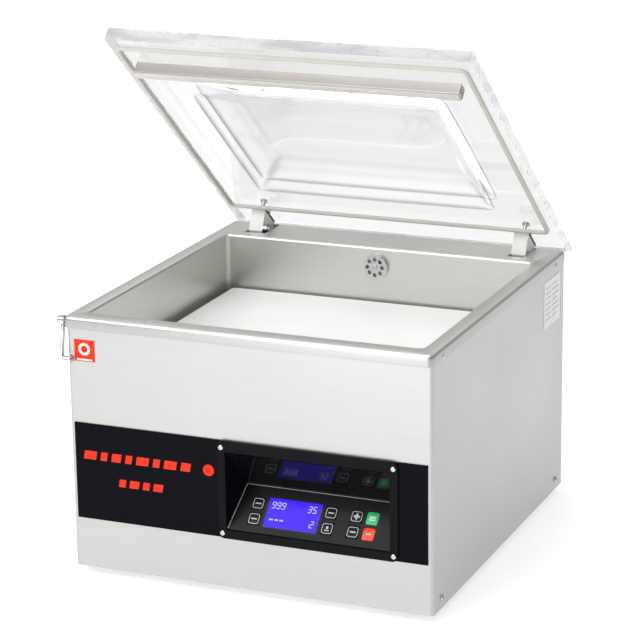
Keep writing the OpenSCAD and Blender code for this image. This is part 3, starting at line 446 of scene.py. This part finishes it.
def build_rim():
    (x0, y0, z0), (x1, y1, z1) = span("top_rim")
    (cx0, cy0, _), (cx1, cy1, _) = span("chamber_tub")
    cx0, cx1, cy0, cy1 = cx0 + TUB_WALL, cx1 - TUB_WALL, cy0 + TUB_WALL, cy1 - TUB_WALL
    bend, lip = 5.0, 3.0        # radii of the outer bend and of the turn down into the chamber
    b = Build()
    loops = []

    def outer(inset, z, r=8.0):
        outline = rounded_rect(x0 + inset, x1 - inset, y0 + inset, y1 - inset, max(r - inset, 1))
        loops.append(level(outline, z))

    def inner(grow, z, r=6.0):
        outline = rounded_rect(cx0 - grow, cx1 + grow, cy0 - grow, cy1 + grow, r + grow)
        loops.append(level(outline, z))

    outer(1.5, z1 - 4)
    outer(1.5, z0 + 0.2)
    outer(1.2, z0)
    outer(0.3, z0)
    outer(0, z0 + 0.3)
    for a in (0, 15, 30, 45, 60, 75, 90):
        t = math.radians(a)
        outer(bend * (1 - math.cos(t)), z1 - bend + bend * math.sin(t))
    outer(8, z1)
    for a in (0, 30, 60, 90):
        t = math.radians(a)
        inner(lip * (1 - math.sin(t)), z1 - lip + lip * math.cos(t))
    inner(1.5, z1 - 3.02)
    inner(6, z1 - 4)
    b.loft(loops, ring=True)
    # Faces below the outer bend take the darker skirt copy: painted shade on the rim's upright faces
    for face in b.bm.faces:
        if max(local(v.co)[2] for v in face.verts) < z1 - bend * 0.5:
            face.material_index = 1
    rim = b.done("rim_frame", "casing", [steel_rim, steel_skirt_painted_shade], ("top_rim",), 40)
    slots = Build()
    half_slot = 11.2
    for s, spare in ((-1, 8.5), (1, 0)):    # spare room for the gas spring's eye on the left
        mid = s * HINGE_X
        slot = rounded_rect(mid - half_slot, mid + half_slot + spare, cy1 + 18, y1 - 3, 1.5, 3)
        slots.loft([level(slot, z) for z in (z1 - 6, z1 + 4)])
    cutter = slots.done("rim_slot_cutter", "casing", [steel_rim])
    m = rim.modifiers.new("hinge_slots", "BOOLEAN")
    m.operation = "DIFFERENCE"
    m.solver = "EXACT"
    m.object = cutter
    bpy.context.view_layer.update()
    graph = bpy.context.evaluated_depsgraph_get()
    cut = bpy.data.meshes.new_from_object(rim.evaluated_get(graph))
    rim.modifiers.clear()
    rim.data = cut
    cut.set_sharp_from_angle(angle=math.radians(40))
    bpy.data.objects.remove(cutter)


# ---- Lid ----

DOME = (-170.0, 170.0, 125.0, 402.0)        # outline: left, right, front, rear
DOME_H = 28.0
FRONT_SLOPE = 0.5


def smooth_max(a, b, k):
    return (a + b + math.sqrt((a - b) ** 2 + k * k)) / 2


def smooth_min(a, b, k):
    return -smooth_max(-a, -b, k)


def rise(x, y):
    """Height of the dome over the flat of the lid."""
    x0, x1, y0, y1 = DOME
    foot, corner, crown, fade_over = 3, 8, 9, 10
    sides = smooth_min(x - x0, x1 - x, foot)
    ends = smooth_min((y - y0) * FRONT_SLOPE, y1 - y, foot)
    slope = smooth_min(sides, ends, corner)
    fade = min(1.0, max(0.0, slope / fade_over + 1))
    return max(0.0, smooth_min(smooth_max(slope, 0, foot), DOME_H, crown)) * fade


def crease(x, y, d=1.5):
    """How sharply the dome's surface folds at a point, by its neighbours d away."""
    bend = rise(x + d, y) + rise(x - d, y) + rise(x, y + d) + rise(x, y - d) - 4 * rise(x, y)
    return abs(bend) / d


def build_lid():
    y0, y1 = LID_FRONT, AXIS_Y + LID_REACH
    half = LID_HALF
    cut_l, cut_h = 22.0, 12.0   # bevel under the rear edge

    def grid(stops):
        """Lines from stop to stop; each stop is its place and the step after it."""
        out = [stops[0][0]]
        for (a, step), (b, _) in zip(stops, stops[1:]):
            n = max(1, round((b - a) / step))
            out += [a + (b - a) * (i + 1) / n for i in range(n)]
        return out

    xs = grid([(-half, 14), (-186, 2.2), (-132, 22), (132, 2.2), (186, 14), (half, 1)])
    ys = grid([(y0, 12), (100, 2.6), (200, 18), (362, 2.2), (418, 12), (y1 - cut_l, 8), (y1, 1)])
    b = Build(lid_turn)
    bm = b.bm

    def under(x, y):
        return LID_IN + rise(x, y) + max(0.0, (y - (y1 - cut_l)) / cut_l) * cut_h

    def over(x, y):
        return LID_IN + LID_T + rise(x, y)

    low = [b.points([(x, y, under(x, y)) for y in ys]) for x in xs]
    high = [b.points([(x, y, over(x, y)) for y in ys]) for x in xs]
    for rows in (low, high):
        for i in range(len(xs) - 1):
            for j in range(len(ys) - 1):
                bm.faces.new((rows[i][j], rows[i + 1][j], rows[i + 1][j + 1], rows[i][j + 1]))

    def around(rows):
        m, n = len(xs), len(ys)
        return [rows[i][0] for i in range(m)] + [rows[-1][j] for j in range(1, n)] + \
            [rows[i][-1] for i in range(m - 2, -1, -1)] + [rows[0][j] for j in range(n - 2, 0, -1)]

    bottom, top = around(low), around(high)
    for i in range(len(bottom)):
        j = (i + 1) % len(bottom)
        side = abs(bottom[i].co.x - bottom[j].co.x) < 1e-6
        bm.faces.new((bottom[i], bottom[j], top[j], top[i])).material_index = 2 if side else 1
    lid = b.done("lid_clear", "lid", [clear, front_edge_painted_shade, side_edge_painted_light], ("lid_panel",), 40)
    creases = lid.data.attributes.new("crease", "FLOAT", "POINT")
    flat = lid_turn.inverted()
    for v, c in zip(lid.data.vertices, creases.data):
        x, y, _ = local(flat @ v.co)
        c.value = min(1.0, crease(x, y))
    lid.visible_shadow = False
    bevel(lid, 1.6, 60)


def build_gasket():
    (tx0, ty0, _), (tx1, ty1, _) = span("chamber_tub")
    beside, before, behind = 9, 7.5, 13.5       # from the chamber's walls to the bead's middle
    gx = (tx1 - tx0) / 2 - TUB_WALL + beside
    g0, g1 = ty0 + TUB_WALL - before, ty1 - TUB_WALL + behind
    half, drop = 3.0, 4.6
    b = Build(lid_turn)
    loops = []
    for k in range(15):
        a = math.pi * k / 14
        out = -half * math.cos(a)
        z = LID_IN - 0.05 - drop * math.sin(a) ** 0.6
        outline = rounded_rect(-gx - out, gx + out, g0 - out, g1 + out, 8 + out, 8)
        loops.append(level(outline, z))
    b.loft(loops, ring=True)
    b.done("gasket_bead", "lid", [silicone], ("lid_gasket",), 60)


def extrude_x(build, half, profile):
    """Bar along x from a closed side view of [y, z] points, its ends slightly drawn in."""
    my = sum(p[0] for p in profile) / len(profile)
    mz = sum(p[1] for p in profile) / len(profile)
    loops = []
    for x, k in ((-half, 0.94), (-half + 0.5, 1), (half - 0.5, 1), (half, 0.94)):
        loops.append([(x, my + (y - my) * k, mz + (z - mz) * k) for y, z in profile])
    build.loft(loops)


def build_counter():
    """Channel under the lid's front and the silicone strip in it."""
    y, z = SEAL_Y, LID_IN - 14
    b = Build(lid_turn)
    w, slot, deep = 7.5, 5.8, 5
    profile = [(-w, 14), (-w, 1), (-w + 0.8, 0), (-slot, 0), (-slot, deep), (slot, deep), (slot, 0),
               (w - 0.8, 0), (w, 1), (w, 14)]
    extrude_x(b, 218, [(y + p, z + q - 0.05) for p, q in profile])
    b.done("counter_profile", "lid", [anodised], ("counter_bar",), 30)
    s = Build(lid_turn)
    half, back, low, crown = 5.6, 4.8, -2.2, 1.8
    profile = [(-half, back), (-half, low)]
    for a in range(15, 180, 15):
        t = math.radians(a)
        profile.append((-half * math.cos(t), low - crown * math.sin(t)))
    profile += [(half, low), (half, back)]
    extrude_x(s, 217.6, [(y + p, z + q) for p, q in profile])
    s.done("counter_silicone", "lid", [silicone], ("counter_strip",), 30)


def build_hinge_bolts():
    b = Build(lid_turn)
    for s in (-1, 1):
        for back in BOLT_BACK:
            head = (s * HINGE_X, AXIS_Y - back, LID_IN + LID_T + 0.02)
            button_head(b, head, (0, 0, 1), 5.5, 3.4, 3.0, 30)
    b.done("hinge_screws", "lid", [steel_bright], ("hinge_bolts",), 35)


# ---- Screws ----

def build_screws():
    (sx0, _, _), (sx1, _, _) = span("housing_shell")
    front, low, rim_z = 36, 24, TOP - 10.4
    large = (4.2, 2.3, 1.6, 3)          # head radius and height, shank radius and length
    small = (3.4, 0.78, 1.6, 2)
    b = Build()
    for s, x in ((-1, sx0), (1, sx1)):
        for y in (front, DEEP - 30):
            button_head(b, (x, y, low), (s, 0, 0), *large)
        for y in (front, DEEP - 44):
            button_head(b, (s * WIDE / 2, y, rim_z), (s, 0, 0), *small)
    for x in (sx0 + 24, 0, sx1 - 24):
        for z in (low, TOP - 40):
            button_head(b, (x, DEEP - 2, z), (0, 1, 0), *large)
    b.done("casing_screw_heads", "casing", [steel_bright], ("casing_screws",), 35)
    (left, front, low), (right, _, high) = span("control_bezel")
    c = Build()
    for x in (left + 5.5, right - 5.5):
        for z in (low + 7, high - 9):
            button_head(c, (x, front, z), (0, -1, 0), 3.4, 1.7, 1.3, 2)
    c.done("bezel_screw_heads", "casing", [steel_bright], ("bezel_screws",), 35)
    (left, front, low), (right, _, high) = span("suction_cover")
    d = Build()
    button_head(d, ((left + right) / 2, front, (low + high) / 2), (0, -1, 0), 3.0, 1.5, 1.4, 6)
    d.done("suction_screw_head", "casing", [steel_bright], ("suction_screw",), 35)


# ---- Catch ----

def arc_path(corner, before, after, r):
    """Points of a rounded corner between two directions."""
    steps = 8
    a, b = Vector(before).normalized(), Vector(after).normalized()
    start, end = Vector(corner) - a * r, Vector(corner) + b * r
    out = []
    for i in range(steps + 1):
        t = i / steps
        out.append((1 - t) ** 2 * start + 2 * t * (1 - t) * Vector(corner) + t * t * end)
    return out


def build_catch():
    (tx0, ty0, tz0), (_, ty1, tz1) = span("catch_tip")
    rod_r, bend = 2.8, 8
    px, py, pz = local(Vector(joints["catch_swing"]["pos_m"]))
    foot = Vector((px, (ty0 + ty1) / 2, (tz0 + tz1) / 2))
    top = Vector((px, py, pz))
    down = (foot - top).normalized()
    path = [top + down * 4, top + down * 12, top + down * 24]
    path += arc_path(foot, down, (1, 0, 0), bend)
    path.append(Vector((tx0 + 2, foot.y, foot.z)))
    b = Build()
    sweep(b, path, rod_r, 24)
    eye = [(3.1, 0), (5.4, 0), (6, 0.6), (6, 5.4), (5.4, 6), (3.1, 6)]
    revolve(b, (px - 3, py, pz), (1, 0, 0), eye, 40)
    b.done("catch_bail", "catch", [chrome], ("catch_rod",), 40)
    s = Build()
    sleeve = [(2.9, 0), (3.6, 0), (4.3, 0.5), (4.5, 1.4), (4.5, 6.8), (4.2, 8.0), (3.4, 8.8), (1.6, 9)]
    revolve(s, (tx0, foot.y, foot.z), (1, 0, 0), sleeve, 32)
    s.done("catch_sleeve", "catch", [chrome], ("catch_tip",), 40)


# ---- Control panel ----

(bezel_left, bezel_front, bezel_low), (bezel_right, _, _) = span("control_bezel")
PANEL_X = (bezel_left + bezel_right) / 2
SLOPE = math.radians(46.5)
pad_origin = at(PANEL_X, bezel_front, bezel_low + 11.5)
pad_turn = Matrix.Translation(pad_origin) @ Matrix.Rotation(SLOPE, 4, "X") @ Matrix.Translation(-at(0, 0, 0))
KEY_COLS = (-76.3, 21.2, 55.0, 75.8)
KEY_ROWS = (19.7, 40.6)
KEY_W, KEY_L = 15.6, 16.6
SCREEN_AT = (-27.6, 31.0)
SCREEN_SIZE = (70.4, 39.6)
PRINT = 0.12                # thickness of printed marks


def slab(build, outline, z0, z1, material=0):
    build.loft([level(outline, z0), level(outline, z1)], material=material)


def ring_slab(build, outer, inner, z0, z1, material=0):
    """Flat frame between two outlines with the same number of points."""
    loops = [level(outer, z0), level(outer, z1), level(inner, z1), level(inner, z0)]
    build.loft(loops, material, ring=True)


def box_outline(cx, cy, w, h, r=0.2):
    return rounded_rect(cx - w / 2, cx + w / 2, cy - h / 2, cy + h / 2, r, 2)


DASH = ((0, 7.6, 1.5),)
KEY_MARKS = (       # the bars on each key: place over its middle, width, height, corner radius
    DASH, DASH, DASH,
    ((-2.6, 6.2, 1.2), (1.2, 3.0, 3.4, 0.8)),
    ((0, 7.8, 2.6), (2.7, 2.6, 2.6), (-2.7, 2.6, 2.6)),
    ((0, 7.4, 1.8),),
    ((-2.2, 8.6, 1.0), (0, 8.6, 1.0), (2.2, 8.6, 1.0)),
    ((0, 6.4, 1.2),),
)


def build_keys():
    """Six black keys with a printed frame, then a green and a red one."""
    face = 0.6
    print_from, print_to = face - 0.1, face + PRINT
    sides = ((-1.2, -3.4), (-1.2, -2.2), (0, -2.2), (0, face - 0.5), (0.15, face - 0.15), (0.5, face))
    for i, marks in enumerate(KEY_MARKS):
        cx, cy = KEY_COLS[i // 2], KEY_ROWS[1 - i % 2]
        black = i < 6

        def outline(across, along, r):
            return rounded_rect(cx - KEY_W / 2 + across, cx + KEY_W / 2 - across,
                                cy - KEY_L / 2 + along, cy + KEY_L / 2 - along, r)

        b = Build(pad_turn)
        b.loft([level(outline(inset, inset, max(2.6 - inset, 0.8)), z) for inset, z in sides])
        if black:
            ring_slab(b, outline(1, 1.6, 3.0), outline(1.75, 2.35, 2.25), print_from, print_to, 1)
        for up, *size in marks:
            slab(b, box_outline(cx, cy + up, *size), print_from, print_to, 1)
        key = "key_%d" % (i + 1)
        base = {6: key_green, 7: key_red}.get(i, key_black)
        line = key_line if black else print_white
        b.done(key + "_face", key, [base, line], (key,), 35)


SEGMENTS = {"2": "abged", "3": "abgcd", "5": "afgcd", "9": "abcdfg"}


def digit(build, char, x, y, h, z0, z1):
    """Seven-segment digit h high, leaning slightly."""
    w = h * 0.52
    t = h * 0.17
    slant = 0.12
    for s in SEGMENTS[char]:
        cx, cy, horizontal = {
            "a": (0, h / 2, 1), "g": (0, 0, 1), "d": (0, -h / 2, 1), "f": (-w / 2, h / 4, 0),
            "b": (w / 2, h / 4, 0), "e": (-w / 2, -h / 4, 0), "c": (w / 2, -h / 4, 0)}[s]
        size = (w - t * 0.4, t) if horizontal else (t, h / 2 - t * 0.4)
        slab(build, box_outline(x + cx + cy * slant, y + cy, *size, t * 0.3), z0, z1)


def build_screen():
    dx, dy = SCREEN_AT
    digit_h = 8.2
    upper, lower = dy + 10.5, dy - 9
    b = Build(pad_turn)
    z0, z1 = -0.34, -0.2
    for k, char in enumerate("999"):
        digit(b, char, dx - 28 + k * 6.4, upper, digit_h, z0, z1)
    for k, char in enumerate("35"):
        digit(b, char, dx + 20 + k * 6.6, upper, digit_h, z0, z1)
    digit(b, "2", dx + 27, lower, digit_h, z0, z1)
    for x in (-27, -20, -13):
        slab(b, box_outline(dx + x, lower, 5, 2.2), z0, z1)
    b.done("screen_digits", "casing", [segments])
    f = Build(pad_turn)
    w, h = SCREEN_SIZE

    def outline(grow, r):
        return rounded_rect(dx - w / 2 - grow, dx + w / 2 + grow, dy - h / 2 - grow, dy + h / 2 + grow, r)

    ring_slab(f, outline(1.0, 1.4), outline(-0.2, 0.6), -0.3, PRINT)
    f.done("screen_frame", "casing", [gloss_black])


def build_panel_highlights():
    """Pale strips along the keypad's left side and its back: painted highlights on the panel's edges."""
    half, draft, length = 108.5, 9.0, 66.0
    b = Build(pad_turn)
    left = [(-half + 1.0, 2.6), (-half + 1.7, 2.6), (-half + draft + 1.3, length - 1.3),
            (-half + draft + 0.6, length - 1.3)]
    slab(b, left, -0.05, PRINT)
    back = [(-half + draft + 0.6, length - 1.3), (half - draft - 0.6, length - 1.3),
            (half - draft - 0.6, length - 0.7), (-half + draft + 0.6, length - 0.7)]
    slab(b, back, -0.05, PRINT)
    b.done("keypad_edge_highlights", "casing", [key_line])


def upright(build, outline, y0, y1):
    """Plate in the x-z plane between two depths."""
    build.loft([[(x, y, z) for x, z in outline] for y in (y0, y1)])


def build_fascia_print():
    """Slanted bars in two rows, with a disc after the first."""
    fascia_front = span("fascia")[0][1]
    b = Build()
    y0, y1 = fascia_front - PRINT, fascia_front + 0.1
    lean = 0.18

    def row(x, z, widths, h, gap):
        for w in widths:
            outline = [(x + lean * -h / 2, z - h / 2), (x + w + lean * -h / 2, z - h / 2),
                       (x + w + lean * h / 2, z + h / 2), (x + lean * h / 2, z + h / 2)]
            upright(b, outline, y0, y1)
            x += w + gap

    title_z, title_x, disc_x, disc_r = 161.5, -224.0, -52, 7.5
    row(title_x, title_z, (17, 9, 13, 9, 17, 9, 17, 13), 11, 6.2)
    turns = [math.radians(a) for a in range(0, 360, 15)]
    upright(b, [(disc_x + disc_r * math.cos(a), title_z + disc_r * math.sin(a)) for a in turns], y0, y1)
    row(-176.0, 129, (9, 13, 9, 13), 10, 5.5)
    b.done("fascia_print", "casing", [print_red])


def build_badge_print():
    """Ring over a bar."""
    (x0, front, z0), (x1, _, z1) = span("badge")
    g = Build()
    cx, cz = (x0 + x1) / 2, (z0 + z1) / 2 + 2
    y0, y1 = front - 0.1, front + 0.1
    step, inside, outside = 15, 4.8, 8.0
    for a0 in range(0, 360, step):
        corners = ((outside, a0), (outside, a0 + step), (inside, a0 + step), (inside, a0))
        seg = [(cx + r * math.cos(math.radians(a)), cz + r * math.sin(math.radians(a))) for r, a in corners]
        upright(g, seg, y0, y1)
    half, low, high = 10.5, z0 + 1.4, z0 + 3.4
    upright(g, [(cx - half, low), (cx + half, low), (cx + half, high), (cx - half, high)], y0, y1)
    g.done("badge_print", "casing", [print_white])


def build_label_print():
    """Two columns of grey bars."""
    (_, label_y, _), (face, _, top) = span("rating_label")
    lab = Build()
    line_h = 1.4

    def bar(y, z, w):
        depths = (face - 0.1, face + 0.08)
        lab.loft([[(x, y, z), (x, y + w, z), (x, y + w, z + line_h), (x, y, z + line_h)] for x in depths])

    for k in range(7):
        z = top - 10 - k * 7.2
        bar(label_y + 6, z, 22)
        bar(label_y + 34, z, 28 if k % 3 else 20)
    lab.done("label_print", "casing", [print_grey])


# ---- Everything ----

for name, material in finish.items():
    obj = nodes[name]
    if not obj.material_slots:
        obj.data.materials.append(material)
    for s in obj.material_slots:
        s.material = material

build_rim()
build_lid()
build_gasket()
build_counter()
build_hinge_bolts()
build_screws()
build_catch()
build_keys()
build_screen()
build_panel_highlights()
build_fascia_print()
build_badge_print()
build_label_print()

edge_radii = {
    "insert_plate_lower": 1.5, "insert_plate_upper": 1.5, "hinge_block_left": 1.0,
    "hinge_block_right": 1.0, "feet": 1.0, "suction_cover": 0.4, "fascia": 0.4,
    "hinge_pads": 0.3, "control_bezel": 0.7, "catch_pivot": 0.5, "power_inlet": 0.6,
    "valve_block": 1.0, "oil_case": 4.0, "gas_spring_tube": 0.6, "badge": 0.2,
    "rating_label": 0.15, "power_switch": 0.5,
}
for node, radius in edge_radii.items():
    bevel(nodes[node], radius)


# ---- Floor and light ----

def build_stage():
    mesh = bpy.data.meshes.new("floor")
    half = 30
    corners = [(-half, -half, 0), (half, -half, 0), (half, half, 0), (-half, half, 0)]
    mesh.from_pydata(corners, [], [(0, 1, 2, 3)])
    s = Surface("floor_white", (0.86, 0.86, 0.86, 1), 0.6, 0.0, Emission_Strength=0.56)
    s.bsdf.inputs["Emission Color"].default_value = (1, 1, 1, 1)
    s.tint(s.noise((2, 2, 2), 2.0), (0.85, 0.85, 0.855, 1), 0.3, 0.7)
    mesh.materials.append(s.mat)
    floor = bpy.data.objects.new("floor", mesh)
    bpy.context.collection.objects.link(floor)


def area(name, place, target, size, power):
    light = bpy.data.lights.new(name, "AREA")
    light.shape = "RECTANGLE"
    light.size, light.size_y = size
    light.energy = power
    obj = bpy.data.objects.new(name, light)
    bpy.context.collection.objects.link(obj)
    obj.location = place
    obj.rotation_euler = (Vector(target) - Vector(place)).to_track_quat("-Z", "Y").to_euler()


def build_world():
    """Pale room: brighter overhead, and brighter on the left than on the right."""
    world = bpy.data.worlds.new("studio")
    bpy.context.scene.world = world
    world.use_nodes = True
    tree = world.node_tree
    back = tree.nodes["Background"]
    coords = tree.nodes.new("ShaderNodeTexCoord")
    split = tree.nodes.new("ShaderNodeSeparateXYZ")
    tree.links.new(coords.outputs["Generated"], split.inputs["Vector"])
    ramp = tree.nodes.new("ShaderNodeValToRGB")
    ramp.color_ramp.elements[0].position = 0.0
    ramp.color_ramp.elements[0].color = (0.62, 0.62, 0.62, 1)
    ramp.color_ramp.elements[1].position = 0.9
    ramp.color_ramp.elements[1].color = (1, 1, 1, 1)
    tree.links.new(split.outputs["Z"], ramp.inputs["Fac"])
    side = tree.nodes.new("ShaderNodeMapRange")
    side.inputs["From Min"].default_value = -1
    side.inputs["From Max"].default_value = 1
    side.inputs["To Min"].default_value = 1.1
    side.inputs["To Max"].default_value = 0.6
    tree.links.new(split.outputs["X"], side.inputs["Value"])
    mix = tree.nodes.new("ShaderNodeMix")
    mix.data_type = "RGBA"
    mix.blend_type = "MULTIPLY"
    mix.inputs["Factor"].default_value = 1.0
    tree.links.new(ramp.outputs["Color"], mix.inputs["A"])
    tree.links.new(side.outputs["Result"], mix.inputs["B"])
    tree.links.new(mix.outputs["Result"], back.inputs["Color"])
    back.inputs["Strength"].default_value = 0.62


build_stage()
build_world()
area("key", (-1.6, -1.9, 2.4), (0, 0, 0.2), (2.4, 2.0), 38)
area("top", (-0.1, -0.7, 2.3), (0, -0.1, 0.3), (1.4, 1.2), 16)
area("front", (-0.35, -2.4, 0.55), (0.05, -0.3, 0.2), (1.0, 0.7), 13)
area("back", (-0.6, 2.2, 2.2), (0, 0, 0.3), (2.2, 1.2), 8)
bpy.context.scene.view_settings.view_transform = "Standard"
